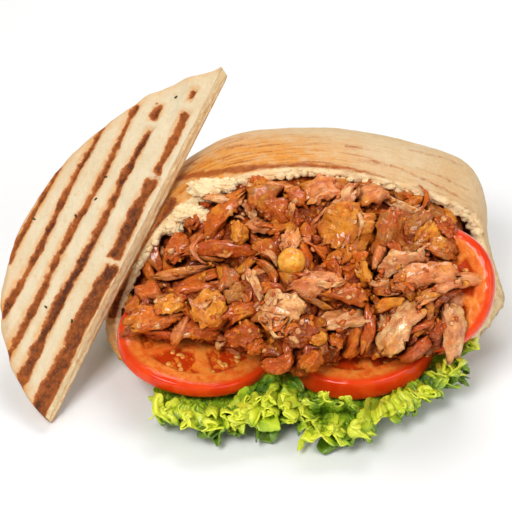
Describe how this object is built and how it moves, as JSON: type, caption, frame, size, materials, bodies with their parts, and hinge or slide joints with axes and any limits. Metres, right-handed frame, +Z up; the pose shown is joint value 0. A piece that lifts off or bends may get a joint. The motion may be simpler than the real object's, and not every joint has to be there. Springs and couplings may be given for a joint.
{
  "type": "chicken gyro pita",
  "caption": "Grilled pita pocket stuffed with torn roast chicken, tomato slices, a frilly lettuce leaf and a chickpea, with the cut-off bread flap leaning on it",
  "frame": {"origin": "on the flat underside of the pocket, where it rests, in line with the middle of the mouth", "axes": "+Z up; -Y is the way the mouth looks; +X is to the right of someone who looks into the mouth"},
  "size_m": [0.2162, 0.176, 0.1013],
  "materials": {
    "baked_bread": "soft matt bread crust, golden to brown at the torn mouth",
    "grilled_crust": "pale matt crust with dark pressed grill stripes",
    "roast_chicken": "moist roast meat in browns, oranges and pale pinks",
    "tomato_flesh": "wet red flesh with a darker glossy skin",
    "lettuce_green": "satin leaf, yellow-green with darker folds",
    "chickpea_skin": "smooth satin ochre skin"
  },
  "bodies": {
    "root": {"pita_pocket": "baked_bread", "pita_flap": "grilled_crust", "chicken_filling": "roast_chicken", "tomato_slice_left": "tomato_flesh", "tomato_slice_center": "tomato_flesh", "tomato_slice_right": "tomato_flesh", "lettuce_leaf": "lettuce_green", "chickpea": "chickpea_skin"}
  },
  "joints": []
}
